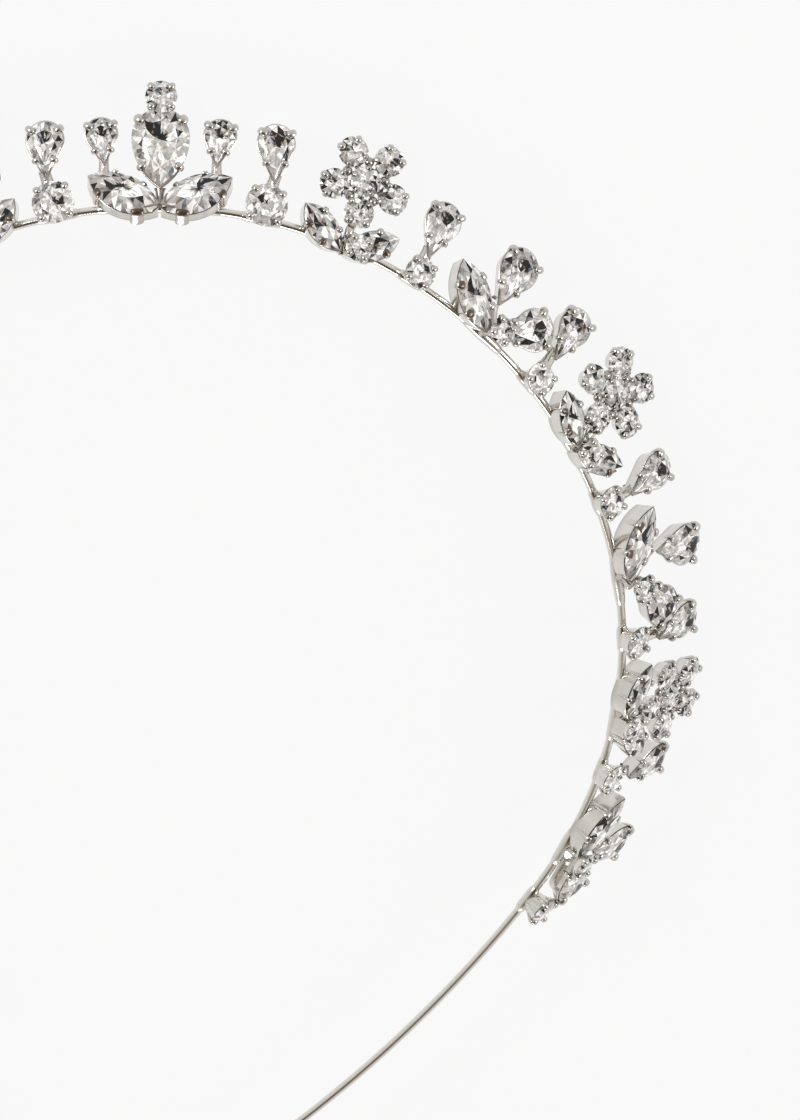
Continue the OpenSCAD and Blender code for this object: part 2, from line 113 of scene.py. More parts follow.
# The painted reflections of each cut: its spread over the cup's rim, how fine their pattern inside is,
# where a painted dark reflection lies and how far it reaches, as shares of the way round, with None for
# anywhere, how dark it is, and the lift of the other painted tones
Look = namedtuple("Look", "spread grain dark_at dark_reach darkness lift")
LOOKS = {
    "round": Look(0.3, (1.6, 1.4), None, 0.09, 0.55, 0.3),
    "petal": Look(0.42, (1.6, 1.4), None, 0.09, 0.55, 0.0),
    "joint": Look(0.3, (1.6, 1.4), None, 0.09, 0.55, 0.04),
    "pear": Look(0.24, (1.1, 0.85), 0.92, 0.1, 0.9, 0.04),
    "drop": Look(0.32, (1.3, 0.95), 0.0, 0.17, 0.7, 0.04),
    "leaf": Look(0.22, (0.95, 0.4), 0.91, 0.09, 0.78, 0.04),
}

Stone = namedtuple("Stone", "cut length width along up turn seat tilt")


def round_stone(cut, d, along, up, turn=0.0, seat=SEAT):
    return Stone(cut, d, d, along, up, turn, seat, 0.0)


def long_stone(cut, size, along, up, turn, tilt=0.0):
    return Stone(cut, size[0], size[1], along, up, turn, SEAT, tilt)


MIDDLE = {
    "centre_drop": long_stone("pear", LARGE_PEAR, 0, 10.1, 0),
    "centre_top_round": round_stone("joint", ROUND_D, 0, 19, 0, FRONT_SEAT),
    "centre_leaf_left": long_stone("leaf", LEAF, -6.6, 2.4, -64, LEAF_TILT),
    "centre_leaf_right": long_stone("leaf", LEAF, 6.6, 2.4, 64, LEAF_TILT),
    "centre_side_drop_left": long_stone("drop", SMALL_DROP, -10.45, 11.05, -6),
    "centre_side_drop_right": long_stone("drop", SMALL_DROP, 10.45, 11.05, 6),
}

# Place along the wire; the round's diameter, along, up; the drop's along, up, turn
DropGroup = namedtuple("DropGroup", "place round_d along up drop_along drop_up drop_turn")
DROPS = [
    DropGroup(18.2, BIG_ROUND_D, 0.1, 1.95, 0, 11.4, -8.4),
    DropGroup(47.5, ROUND_D, 0.3, 1.05, -0.1, 9.6, -3.1),
    DropGroup(77.0, ROUND_D, 0.45, 0.85, -0.6, 10.75, -6.8),
    DropGroup(105.3, ROUND_D, -0.2, 0.6, 0.6, 10.45, -2.5),
    DropGroup(133.7, ROUND_D, -0.15, 0.4, 0.65, 11.05, -3.7),
    DropGroup(160.7, ROUND_D, 0.55, -0.6, 0.15, 9.65, -10.8),
]

# Each leaf and drop is along, up, turn; the flower's middle, the joint's round and its post's foot are
# along, up
FlowerGroup = namedtuple("FlowerGroup", "place middle leaf_a leaf_b joint foot")
FLOWERS = [
    FlowerGroup(32.6, (0.6, 11.45), (-4.05, 0.85, -56.3), (5.6, 0.9, 53.7), (2.9, -0.8), (0.8, -0.3)),
    FlowerGroup(89.3, (0.6, 11.55), (-2.2, 1.15, -67.4), (7.7, 1.7, 52.6), (4.4, -0.6), (3.0, 0.8)),
    FlowerGroup(147.9, (0.2, 11.45), (-4.65, 1.1, -59.6), (5.5, 2.1, 54.4), (1.6, -1.4), (0.6, 0.2)),
]

# A flower's petals, from its middle, half a step between them, and the start of the stem under the lowest
PETAL_R = 5.8
PETAL_TURNS = (132.5, 60.5, -11.5, -83.5, -155.5)
HALF_PETAL = 36
PETAL_FOOT = 1.5

# Solder beads between a flower's petals, from its middle, and a plate, from its foot: places, half sizes
# and how much painted shade darkens them
BEAD_AT, BEAD_LEVEL, BEAD, BEAD_SHADE = 3.75, SEAT - 0.55, (0.95, 0.95, 0.75), 0.45
PLATE_ALONG, PLATE_UP, PLATE_LEVEL = 0.1, 2.6, STEM_LEVEL + 0.9
PLATE, PLATE_SHADE = (0.85, 1.6, 0.5), 0.15

SprayGroup = namedtuple("SprayGroup", "place leaf drop_a drop_b joint foot")
SPRAYS = [
    SprayGroup(65.9, (-8.05, 3.05, -57.7), (-3.75, 10.75, -3.5), (3.9, 4.75, 44.3),
               (-0.65, 0.95), (-0.9, 2.85)),
    SprayGroup(123.0, (-8.4, 3.5, -47.6), (-3.05, 12.7, 17.4), (4.74, 5.95, 60.4),
               (-0.6, 0.9), (-1.0, 2.85)),
    SprayGroup(178.6, (-6.75, 2.25, -68.8), (-1.1, 9.9, 0.2), (4.9, 3.35, 59),
               (-0.3, -0.9), (-0.35, 1.2)),
]
END_PLACE = 190.4
END_STONE = round_stone("round", ROUND_D, 0.7, 0.9)


# The wire's path, in the plane of the wire as worn: x to one side, y from the front to the back

def direction(heading):
    return Vector((math.sin(heading * DEG), -math.cos(heading * DEG)))


FRONT_L = FRONT_R * FRONT_TURN * DEG
SIDE_L = SIDE_R * SIDE_TURN * DEG
TAIL_START = FRONT_TURN + SIDE_TURN
FRONT_C = Vector((0, FRONT_R))
SIDE_C = FRONT_C + (FRONT_R - SIDE_R) * direction(FRONT_TURN)
TAIL_C = SIDE_C + (SIDE_R - TAIL_R) * direction(TAIL_START)


def heading_at(length):
    if length < FRONT_L:
        return length / FRONT_R / DEG
    if length < FRONT_L + SIDE_L:
        return FRONT_TURN + (length - FRONT_L) / SIDE_R / DEG
    return TAIL_START + (length - FRONT_L - SIDE_L) / TAIL_R / DEG


def path_at(length):
    heading = heading_at(length)
    if length < FRONT_L:
        return FRONT_C + FRONT_R * direction(heading)
    if length < FRONT_L + SIDE_L:
        return SIDE_C + SIDE_R * direction(heading)
    return TAIL_C + TAIL_R * direction(heading)


def lean_at(length):
    return FRONT_LEAN - LEAN_DROP * (heading_at(length) / LEAN_END_HEADING) ** LEAN_POWER


# From the plane of the wire as worn to the table, in millimetres: turned over, onto the crest's tips
band_low, band_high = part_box("band")
REST_HEIGHT = (band_low.z + band_high.z) / 2 / MM
MIDDLE_Y = -band_low.y / MM - WIRE_R
ON_TABLE = Matrix.Translation((0, -MIDDLE_Y, REST_HEIGHT)) @ Matrix.Rotation(math.pi, 4, "Y")
MIRROR = Matrix.Scale(-1, 4, (1, 0, 0))


def crest_frame(place):
    """A group's frame at a place along the wire: x along the wire, y up the crest, z out of it."""
    at = path_at(place)
    turned = Matrix.Rotation(heading_at(place) * DEG, 4, "Z")
    leaned = Matrix.Rotation((90 + lean_at(place)) * DEG, 4, "X")
    return Matrix.Translation((at.x, at.y, 0)) @ turned @ leaned


def stone_frame(stone):
    """A stone's own frame in its group's: y to its upper end, z out of its table."""
    seated = Matrix.Translation((stone.along, stone.up, stone.seat))
    tilted = Matrix.Rotation(-stone.tilt * DEG, 4, "X")
    return seated @ tilted @ Matrix.Rotation(-stone.turn * DEG, 4, "Z")


# Outlines of the cuts: a share of the way round runs from the upper end towards +x

def is_round(stone):
    return stone.cut in ("round", "petal", "joint")


def is_drop(stone):
    return stone.cut in ("pear", "drop")


def flank_point(a, b, way):
    """A point on an arc that rises b over a half chord of a, some way from its middle to its lower end."""
    r = (a * a + b * b) / (2 * b)
    t = math.asin(a / r) * way
    return Vector((r * math.cos(t) - r + b, -r * math.sin(t)))


def leaf_edge(stone, near):
    """Two arcs that meet in points."""
    return flank_point(stone.length / 2, stone.width / 2, 4 * near - 1)


def pear_edge(stone, near):
    """A half circle, from its middle, over two long arcs."""
    b = stone.width / 2
    if near < 0.25:
        return b * Vector((math.sin(2 * math.pi * near), math.cos(2 * math.pi * near)))
    return flank_point(stone.length - b, b, 4 * near - 1)


def drop_edge(stone, near):
    """A round head and straight flanks to the point."""
    head_ends = 0.3
    b = stone.width / 2
    a = stone.length - b
    sweep = (math.pi / 2 + math.asin(b / a)) * min(near / head_ends, 1)
    head = b * Vector((math.sin(sweep), math.cos(sweep)))
    return head + max(near - head_ends, 0) / (0.5 - head_ends) * (Vector((0, -a)) - head)


def edge_point(stone, share):
    b = stone.width / 2
    if is_round(stone):
        return Vector((b * math.sin(2 * math.pi * share), b * math.cos(2 * math.pi * share)))
    side = 1 if share < 0.5 else -1
    near = share if share < 0.5 else 1 - share
    if stone.cut == "leaf":
        p = leaf_edge(stone, near)
        return Vector((side * p.x, p.y))
    p = pear_edge(stone, near) if stone.cut == "pear" else drop_edge(stone, near)
    return Vector((side * p.x, p.y + stone.length / 2 - b))


def edge_normal(stone, share):
    """Outward, and longer at a sharp tip, so that an offset outline keeps its corner."""
    step = 0.002
    share %= 1
    lower_tip = not is_round(stone) and abs(share - 0.5) < step
    upper_tip = stone.cut == "leaf" and min(share, 1 - share) < step
    if lower_tip or upper_tip:
        beside = 0.5 - 2 * step if lower_tip else 2 * step
        return Vector((0, 1 / edge_normal(stone, beside).y))
    run = edge_point(stone, (share + step) % 1) - edge_point(stone, (share - step) % 1)
    return Vector((-run.y, run.x)).normalized()


def low_end(stone):
    """A long stone's lower point, along and up the crest."""
    turn = stone.turn * DEG
    return Vector((stone.along, stone.up)) - stone.length / 2 * Vector((math.sin(turn), math.cos(turn)))


# The cups' forms

def depth(stone):
    if stone.cut == "joint":
        return JOINT_DEPTH
    if stone.cut == "petal":
        return PETAL_DEPTH
    if stone.tilt:
        return TILTED_DEPTH
    return stone.seat - (LEAF_BACK if stone.cut == "leaf" else BACK)


def narrowing(stone):
    """How much a cup narrows to its back, as a share of its mouth."""
    if is_round(stone):
        return ROUND_NARROWS
    if stone.tilt:
        return 0.0
    return LEAF_NARROWS if stone.cut == "leaf" else DROP_NARROWS


def wall_of(stone, share):
    """The thickness of a cup's wall, which shows as a wider rim round the head of a drop."""
    if stone.cut != "drop":
        return WALL
    from_tip = 0.5 - min(share, 1 - share)
    return WALL + (DROP_WALL - WALL) * min(from_tip / DROP_TAPER, 1)


def wall_lean(stone, z):
    """How far the cup's wall has drawn in at a height."""
    mouth = stone.width / 2 + GAP + WALL
    return mouth * narrowing(stone) * max(LIP - z, 0) / (depth(stone) + LIP)


def edge_drop(stone, share):
    """How far a middle leaf's edge comes down its cup on the side towards the wire."""
    if not stone.tilt:
        return 0.0
    turn = stone.turn * DEG
    towards_wire = Vector((math.sin(turn), -math.cos(turn)))
    return LOW_EDGE * max(0.0, edge_normal(stone, share).normalized().dot(towards_wire))


# Meshes

METAL, CRYSTAL = 0, 1
MID_TONE = 0.5
WELD = 0.0001
SHARP_ANGLE = 38
NOSE_RINGS = 3


class Work:
    """Collects the faces of one piece. Points are given in millimetres in a frame of the piece as worn."""

    def __init__(self, side="right"):
        self.to_table = ON_TABLE @ MIRROR if side == "left" else ON_TABLE
        self.points, self.faces, self.materials = [], [], []
        self.tones, self.tarnish, self.grain = [], [], []

    def add(self, points, faces, at, material=METAL, tones=None, tarnish=None, grain=None):
        place = self.to_table @ at
        start = len(self.points)
        self.points += [place @ Vector(p) * MM for p in points]
        self.faces += [[start + i for i in face] for face in faces]
        self.materials += [material] * len(faces)
        self.tones += tones or [MID_TONE] * len(faces)
        # How much painted shade darkens the metal at each point
        self.tarnish += tarnish or [0.0] * len(points)
        self.grain += grain or [(0.0, 0.0, 0.0)] * len(points)

    def add_rings(self, rings, shade_levels, at, ring_shut=False):
        """Metal between rings of equally many points, each ring with its painted shade."""
        points, faces = loft(rings, ring_shut)
        self.add(points, faces, at, tarnish=[stain for stain in shade_levels for _ in rings[0]])

    def mesh(self, name):
        """One mesh, smooth in its metal and flat in its facets."""
        made = bpy.data.meshes.new(name)
        made.from_pydata(self.points, [], self.faces)
        made.polygons.foreach_set("material_index", self.materials)
        made.polygons.foreach_set("use_smooth", [m == METAL for m in self.materials])
        made.attributes.new("tone", "FLOAT", "FACE").data.foreach_set("value", self.tones)
        # The metal's painted shade, at each point
        made.attributes.new("tarnish", "FLOAT", "POINT").data.foreach_set("value", self.tarnish)
        # The pattern of painted reflections in the facets, at each corner
        corner_grain = [v for loop in made.loops for v in self.grain[loop.vertex_index]]
        made.attributes.new("grain", "FLOAT_VECTOR", "CORNER").data.foreach_set("vector", corner_grain)
        shell = bmesh.new()
        shell.from_mesh(made)
        bmesh.ops.remove_doubles(shell, verts=shell.verts, dist=WELD * MM)
        bmesh.ops.recalc_face_normals(shell, faces=shell.faces)
        shell.to_mesh(made)
        shell.free()
        made.set_sharp_from_angle(angle=SHARP_ANGLE * DEG)
        return made


def turns(count):
    """Evenly spaced angles of one turn."""
    return [2 * math.pi * i / count for i in range(count)]


def loft(rings, ring_shut=False):
    """Faces between rings, with closed ends or from the last ring on to the first."""
    n = len(rings[0])
    points = [p for ring in rings for p in ring]
    faces = []
    for k in range(len(rings) if ring_shut else len(rings) - 1):
        low, high = k * n, (k + 1) % len(rings) * n
        for i in range(n):
            j = (i + 1) % n
            faces.append([low + i, low + j, high + j, high + i])
    if not ring_shut:
        faces.append(list(reversed(range(n))))
        faces.append([(len(rings) - 1) * n + i for i in range(n)])
    return points, faces


def add_bar(work, at, path, widths, across, shade_levels, sides=10):
    """A bar along a path, with its half widths across and through and its painted shade at each point."""
    rings = []
    last = len(path) - 1
    for k, p in enumerate(path):
        run = (path[min(k + 1, last)] - path[max(k - 1, 0)]).normalized()
        through = run.cross(across).normalized()
        half_w, half_t = widths[k]
        rings.append([
            p + across * half_w * math.cos(a) + through * half_t * math.sin(a) for a in turns(sides)
        ])
    work.add_rings(rings, shade_levels, at)


def rounded_end(path, widths):
    """Carries a bar's path on by shrinking half widths, so that it ends in a nearly closed round nose."""
    nearly = 0.97
    run = (path[-1] - path[-2]).normalized()
    half_w, half_t = widths[-1]
    nose = min(half_w, half_t)
    path, widths = list(path), list(widths)
    start = path[-1].copy()
    for k in range(1, NOSE_RINGS + 1):
        a = math.pi / 2 * k / NOSE_RINGS * nearly
        path.append(start + run * nose * math.sin(a))
        widths.append((half_w * math.cos(a), half_t * math.cos(a)))
    return path, widths


# Cups, claws and tabs

def rim_ring(stone, out, z):
    """A ring of the cup at a height, with out as a share of the wall's thickness."""
    ring = []
    for i in range(RIM_POINTS):
        share = i / RIM_POINTS
        offset = GAP + out * wall_of(stone, share) - wall_lean(stone, z)
        p = edge_point(stone, share) + offset * edge_normal(stone, share)
        lowered = edge_drop(stone, share) * (1 + z / depth(stone))
        ring.append(Vector((p.x, p.y, z - lowered)))
    return ring


def add_cup(work, stone, at):
    """A thin wall of metal with a rounded rim that hugs the stone's edge, open at the back."""
    down = depth(stone)
    # Painted shade, heaviest inside the rim where the stone meets the wall, lighter round a drop
    rim_shade = 0.4 if stone.cut == "drop" else 1.0
    # Each row is the share of the wall's thickness, the height and the painted shade
    section = [
        (1, -down, 0.3), (1, -down * 0.66, 0.08), (1, -down * 0.33, 0.08), (1, -0.3, 0.08),
        (1, -0.14, 0.1), (0.79, -0.06, rim_shade / 2), (0.43, -0.04, rim_shade), (0, -0.1, 1.0),
        (0, -0.35, 0.9), (0, -down * 0.5, 0.6), (0, -down, 0.5),
    ]
    rings = [rim_ring(stone, out, z) for out, z, _ in section]
    work.add_rings(rings, [row[-1] for row in section], at, ring_shut=True)


# Stations up a cup's wall: out from the stone's edge, height, a factor on the width, and the painted shade
Station = namedtuple("Station", "out z width stain")

# A claw's half width and thickness, its reach over the stone and down the cup, and the painted shade that
# dulls its nub
Claw = namedtuple("Claw", "half_w half_t reach down stain")
CLAW_DOWN, LEAF_CLAW_DOWN = 1.8, 3.2
CLAW_CLIMB, CLAW_CLEAR = 0.434, 0.12
ROUND_CLAW = Claw(0.52, 0.3, 0.36, CLAW_DOWN, 0.3)
FLAT_CLAW = Claw(0.42, 0.2, 0.25, CLAW_DOWN, 0.45)
CREST_CLAW = Claw(0.5, 0.14, 0.2, LEAF_CLAW_DOWN, 0.3)
HIGH_LEAF_CLAW = Claw(0.68, 0.22, 0.34, LEAF_CLAW_DOWN, 0.3)
# The low leaf claw's nub carries heavy painted shade
LOW_LEAF_CLAW = Claw(0.68, 0.22, 0.7, LEAF_CLAW_DOWN, 0.92)
DROP_CLAW = Claw(0.46, 0.31, 0.36, CLAW_DOWN, 0.3)
SMALL_LEAF_CLAW_W = 0.48
PEAR_CLAW, HEAD_CLAW, FOOT_CLAW = 1.35, 1.3, 0.95

# Places of claws and tabs, as shares of the way round
ROUND_CLAWS = (0.125, 0.375, 0.625, 0.875)
DROP_CLAWS = (0.145, 0.385, 0.615, 0.855)
LEAF_CLAWS = (0.155, 0.345, 0.655, 0.845)
BETWEEN_PETALS = [(90 - a + HALF_PETAL) / 360 % 1 for a in PETAL_TURNS]
END_TAB, FOOT_TAB = 0.11, 0.385
TAB_HALF_T = 0.27


def add_prong(work, stone, share, at, stations, widths, nose_shades, lowered=0.0, sides=10):
    """A bar that climbs a cup's wall at a share of the way round and ends in a round nose on the stone."""
    edge = edge_point(stone, share)
    out = edge_normal(stone, share).normalized()
    path = []
    for s in stations:
        z = max(s.z - lowered, -depth(stone))
        path.append(Vector((edge.x + s.out * out.x, edge.y + s.out * out.y, z)))
    path, widths = rounded_end(path, widths)
    # Painted shade along the prong and on its nose
    shade_levels = [s.stain for s in stations] + nose_shades
    add_bar(work, at, path, widths, Vector((-out.y, out.x, 0)), shade_levels, sides)


def add_claw(work, stone, share, at, claw):
    """A claw rises along the cup's wall and bends over the edge of the stone, ending in a nub."""
    wall = GAP + wall_of(stone, share)
    down = min(claw.down, depth(stone) - 0.1)
    top = GIRDLE + claw.half_t + CLAW_CLEAR
    # Painted shade up the claw, heaviest on the nub
    stations = [
        Station(wall - wall_lean(stone, -down) - 0.12, -down, 0.6, 0.2),
        Station(wall - wall_lean(stone, -down * 0.5) + 0.05, -down * 0.5, 0.9, 0.18),
        Station(wall + 0.1, -0.1, 1.0, 0.2),
        Station(wall + 0.1, top * 0.7, 1.0, 0.22),
        Station(wall - 0.06, top + 0.12, 1.05, 0.22),
        Station(wall - 0.3, top + 0.22, 1.12, claw.stain),
        Station(-claw.reach, top + CLAW_CLIMB * claw.reach, 1.15, claw.stain),
    ]
    widths = [(claw.half_w * s.width, claw.half_t * s.width) for s in stations]
    nose_shades = [claw.stain] * NOSE_RINGS
    add_prong(work, stone, share, at, stations, widths, nose_shades, edge_drop(stone, share))


def add_tab(work, stone, share, at, half_w, spread):
    """A broad flat tab that wraps a middle leaf's cup from its back to the stone, with painted shade that
    darkens its top.
    """
    low, wall, down = edge_drop(stone, share), GAP + WALL, depth(stone)
    # Painted shade, light at the foot and heavy at the top and nose
    stations = [
        Station(wall + spread, -down, 0.6, 0.3),
        Station(wall + spread * 0.85, -down + 0.2, 0.95, 0.28),
        Station(wall + spread * 0.65, -down + 0.6, 1.0, 0.25),
        Station(wall + spread * 0.3, -low - 0.2, 1.0, 0.2),
        Station(wall + 0.12, 0.25 - low, 1.0, 0.4),
        Station(wall - 0.2, 0.6 - low, 0.95, 0.95),
        Station(-0.25, 0.78 - low, 0.9, 0.95),
    ]
    widths = [(half_w * s.width, TAB_HALF_T) for s in stations]
    add_prong(work, stone, share, at, stations, widths, [0.9, 0.8, 0.8], sides=12)


def add_tip_claw(work, stone, at):
    """The V of metal that guards a drop's or a leaf's point."""
    reach = 0.11 if stone.cut == "pear" else 0.075
    out = 0.16
    # Each row is the share of the reach, the height over the lip, the half widths and the painted shade
    rows = (
        (1, 0.04, 0.13, 0.16, 0.8), (0.66, 0.11, 0.17, 0.21, 0.75),
        (0.33, 0.18, 0.21, 0.26, 0.6), (0, 0.25, 0.25, 0.31, 0.5),
    )
    for side in (-1, 1):
        path = []
        for away, rise, *_ in rows:
            share = 0.5 - side * reach * away
            p = edge_point(stone, share) + out * edge_normal(stone, share)
            path.append(Vector((p.x, p.y, LIP + rise)))
        widths = [(half_w, half_t) for _, _, half_w, half_t, _ in rows]
        add_bar(work, at, path, widths, Vector((0, 0, 1)), [row[-1] for row in rows], sides=8)


def in_lower_half(share):
    return abs(share - 0.5) < 0.25


def add_round_claws(work, stone, at, shares):
    """Flat claws at some shares, or the usual four, of which a petal's inner two are flat."""
    for share in shares or ROUND_CLAWS:
        inward = stone.cut == "petal" and in_lower_half(share)
        add_claw(work, stone, share, at, FLAT_CLAW if shares or inward else ROUND_CLAW)


def add_middle_leaf_claws(work, stone, at):
    """Two tabs on the side towards the wire and two small claws on the crest's side."""
    def wire_side(share):
        return share if stone.turn > 0 else 1 - share

    add_tab(work, stone, wire_side(FOOT_TAB), at, half_w=1.25, spread=0.62)
    add_tab(work, stone, wire_side(END_TAB), at, half_w=0.8, spread=0.1)
    for share in LEAF_CLAWS[:2]:
        add_claw(work, stone, 1 - wire_side(share), at, CREST_CLAW)


def add_leaf_claws(work, stone, at):
    """Two claws a side, which reach further and carry heavier painted shade on the side towards the wire.
    """
    for share in LEAF_CLAWS:
        low_side = (share < 0.5) == (stone.turn > 0)
        claw = LOW_LEAF_CLAW if low_side else HIGH_LEAF_CLAW
        if stone.length <= LARGE_STONE:
            claw = claw._replace(half_w=SMALL_LEAF_CLAW_W)
        add_claw(work, stone, share, at, claw)


def add_drop_claws(work, stone, at):
    """Two large claws like ears at the head and two smaller ones near the point."""
    big = PEAR_CLAW if stone.cut == "pear" else 1.0
    for share in DROP_CLAWS:
        ear = FOOT_CLAW if in_lower_half(share) else HEAD_CLAW
        claw = DROP_CLAW._replace(
            half_w=DROP_CLAW.half_w * big * ear, half_t=DROP_CLAW.half_t * big * ear,
            reach=DROP_CLAW.reach * big)
        add_claw(work, stone, share, at, claw)


def add_claws(work, stone, at, shares=None):
    if is_round(stone):
        add_round_claws(work, stone, at, shares)
        return
    if stone.tilt:
        add_middle_leaf_claws(work, stone, at)
    elif stone.cut == "leaf":
        add_leaf_claws(work, stone, at)
    else:
        add_drop_claws(work, stone, at)
    add_tip_claw(work, stone, at)


# Cut stones

class Tones:
    """Light, grey or dark painted reflection for each facet, from a seeded draw: mostly grey, a few nearly
    black or white.
    """

    # Each row is the highest roll, and the darkest and the lightest tone
    LEVELS = ((0.09, 0.0, 0.0), (0.2, 0.08, 0.3), (0.46, 0.36, 0.58), (0.72, 0.62, 0.8), (1.0, 0.86, 1.0))
    LIGHT_TABLE, LIGHT_CROWN = 0.34, 0.05
    TABLE_LIFT, CROWN_LIFT = 0.08, -0.12
    TABLE_REACH, CROWN_REACH = 0.2, 0.25
    ACROSS = (0.35, 0.65)

    def __init__(self, rng, stone, main):
        self.rng, self.main, self.look = rng, main, LOOKS[stone.cut]
        anywhere = rng.random()
        self.dark_at = anywhere if self.look.dark_at is None else self.look.dark_at
        self.light_at = 0.5 if is_drop(stone) else (self.dark_at + rng.uniform(*self.ACROSS)) % 1

    def near(self, i, place, reach):
        away = abs(i / self.main - place) % 1
        return min(away, 1 - away) < reach

    def in_dark(self, i):
        return self.near(i, self.dark_at, self.look.dark_reach)

    def draw(self, lift):
        roll = min(max(self.rng.random() + lift, 0.0), 1.0)
        for top, low, high in self.LEVELS:
            if roll <= top:
                return self.rng.uniform(low, high)
        return 1.0

    def table(self, i):
        if self.in_dark(i):
            return self.draw(-self.look.darkness)
        light = self.near(i, self.light_at, self.TABLE_REACH)
        return self.draw(self.LIGHT_TABLE if light else self.look.lift + self.TABLE_LIFT)

    def crown(self, i):
        light = self.near(i, self.light_at, self.CROWN_REACH)
        return self.draw(self.LIGHT_CROWN if light else self.look.lift + self.CROWN_LIFT)


class Facets:
    """The facets of one cut stone, each with its own corners, tone of painted reflection and pattern of
    painted reflections.
    """

    TABLE_PARTS = 3
    FIELD, SEEDS = 40, 50

    def __init__(self, stone, main, rng):
        self.stone, self.main, self.rng = stone, main, rng
        up = (stone.length - stone.width) * BELLY_SHARE if is_drop(stone) else 0
        self.belly = Vector((0, up))
        self.crown_z = GIRDLE + CROWN_SHARE * stone.width
        self.start = 0.5 / main if is_round(stone) else 0.0
        self.seed = rng.uniform(0, self.SEEDS)
        self.parts = [self.shift() for _ in range(self.TABLE_PARTS)]
        self.points, self.faces, self.tones, self.grain = [], [], [], []

    def shift(self):
        return self.rng.uniform(0, self.FIELD), self.rng.uniform(0, self.FIELD)

    def share(self, k):
        return (self.start + k / self.main) % 1

    def rim(self, k):
        spread = LOOKS[self.stone.cut].spread
        return edge_point(self.stone, self.share(k)) + spread * edge_normal(self.stone, self.share(k))

    def inside(self, k, share, z):
        """A corner a share of the way out to the rim, lowered outside the table where the edge is low."""
        q = self.belly + (self.rim(k) - self.belly) * share
        lowered = edge_drop(self.stone, self.share(k)) * max(share - TABLE_SHARE, 0) / (1 - TABLE_SHARE)
        return Vector((q.x, q.y, z - lowered))

    def beside(self, k, share, z):
        """The corners half a sector after a place and half a sector before it."""
        return self.inside(k + 0.5, share, z), self.inside(k - 0.5, share, z)

    def add(self, corners, tone, part=None):
        """Each facet, or each third of the table, shows its own piece of the painted reflection pattern
        inside the stone.
        """
        first = len(self.points)
        self.points += corners
        self.faces.append(list(range(first, first + len(corners))))
        self.tones.append(tone)
        fine_x, fine_y = LOOKS[self.stone.cut].grain
        shift_x, shift_y = self.shift() if part is None else self.parts[part]
        for c in corners:
            self.grain.append((c[0] * fine_x + shift_x, c[1] * fine_y + shift_y, self.seed))


def add_table(cut, tone, i, core, here, after):
    """Adds one sector of the table, with the facets that show through it, and gives its core's tone."""
    crown = cut.crown_z
    part = cut.TABLE_PARTS * i // cut.main
    inner, inner_before = cut.beside(i, TABLE_SHARE * INNER_SHARE, crown)
    outer = cut.inside(i + 0.5, TABLE_SHARE * OUTER_SHARE, crown)
    centre, pip = cut.inside(i, 0, crown), cut.inside(i, TABLE_SHARE * PIP_SHARE, crown)
    if i == 0 or part != cut.TABLE_PARTS * (i - 1) // cut.main or tone.in_dark(i):
        core = tone.table(i)
    cut.add([centre, inner_before, pip], core, part)
    cut.add([centre, pip, inner], core, part)
    for corners, turn in (
        ([inner_before, here, pip], 0.2), ([pip, here, inner], 0.3), ([inner, here, outer], 0.5),
        ([inner, outer, after], 0.6), ([outer, here, after], 0.8),
    ):
        cut.add(corners, tone.table(i + turn), part)
    return core


def add_stone(work, stone, at, rng, main):
    """A cut stone: a table that shows the facets behind it, stars, kites, girdle facets and pavilion."""
    cut = Facets(stone, main, rng)
    tone = Tones(rng, stone, main)
    inside, crown, core = cut.inside, cut.crown_z, MID_TONE
    star_share, star_z = 0.5 * (1 + TABLE_SHARE), GIRDLE + (crown - GIRDLE) * STAR_RISE
    keel_z = -min(KEEL_SHARE * stone.width, depth(stone) - KEEL_CLEAR)
    # The girdle's painted reflection, a plain grey
    girdle_tone = 0.35
    for i in range(main):
        here, after = inside(i, TABLE_SHARE, crown), inside(i + 1, TABLE_SHARE, crown)
        core = add_table(cut, tone, i, core, here, after)
        star, star_before = cut.beside(i, star_share, star_z)
        edge, edge_mid, edge_after = (inside(i + h, 1, GIRDLE) for h in (0, 0.5, 1))
        for corners, turn in (
            ([here, star, after], 0), ([here, star_before, edge], 0.2), ([here, edge, star], 0.4),
            ([star, edge, edge_mid], 0.5), ([star, edge_mid, edge_after], 0.6),
        ):
            cut.add(corners, tone.crown(i + turn))
        low, low_mid, low_after = (inside(i + h, BACK_SHARE, -GIRDLE) for h in (0, 0.5, 1))
        cut.add([edge, low, low_mid, edge_mid], girdle_tone)
        cut.add([edge_mid, low_mid, low_after, edge_after], girdle_tone)
        flank, flank_before = cut.beside(i, FLANK_SHARE, keel_z * FLANK_FALL)
        cut.add([low, flank, low_mid], tone.crown(i))
        cut.add([low_mid, flank, low_after], tone.crown(i))
        cut.add([low, flank_before, inside(i, 0, keel_z), flank], tone.crown(i))
    work.add(cut.points, cut.faces, at, CRYSTAL, cut.tones, grain=cut.grain)


# Soldered metal between the cups and on the wire

def add_stem(work, at, start, end, level=STEM_LEVEL, radius=STEM_R, stain=0.1, start_flare=STEM_FLARE):
    """A solder-filled stem between two points of the crest, wider where it meets the cups, with painted
    shade that darkens it there.
    """
    a, b = Vector((start[0], start[1], level)), Vector((end[0], end[1], level))
    # Heavier painted shade where the stem meets the cups
    dark = stain + 0.2
    # Each row is the share of the way, a factor on the half width and the painted shade
    rows = (
        (0, start_flare, dark), (0.2, min(start_flare, 1.35), stain), (0.5, 1.15, stain),
        (0.8, 1.35, stain), (1, STEM_FLARE, dark),
    )
    path = [a.lerp(b, t) for t, _, _ in rows]
    widths = [(min(radius, STEM_R) * min(k, FLAT_FLARE), radius * k) for _, k, _ in rows]
    add_bar(work, at, path, widths, Vector((0, 0, 1)), [row[-1] for row in rows], sides=12)


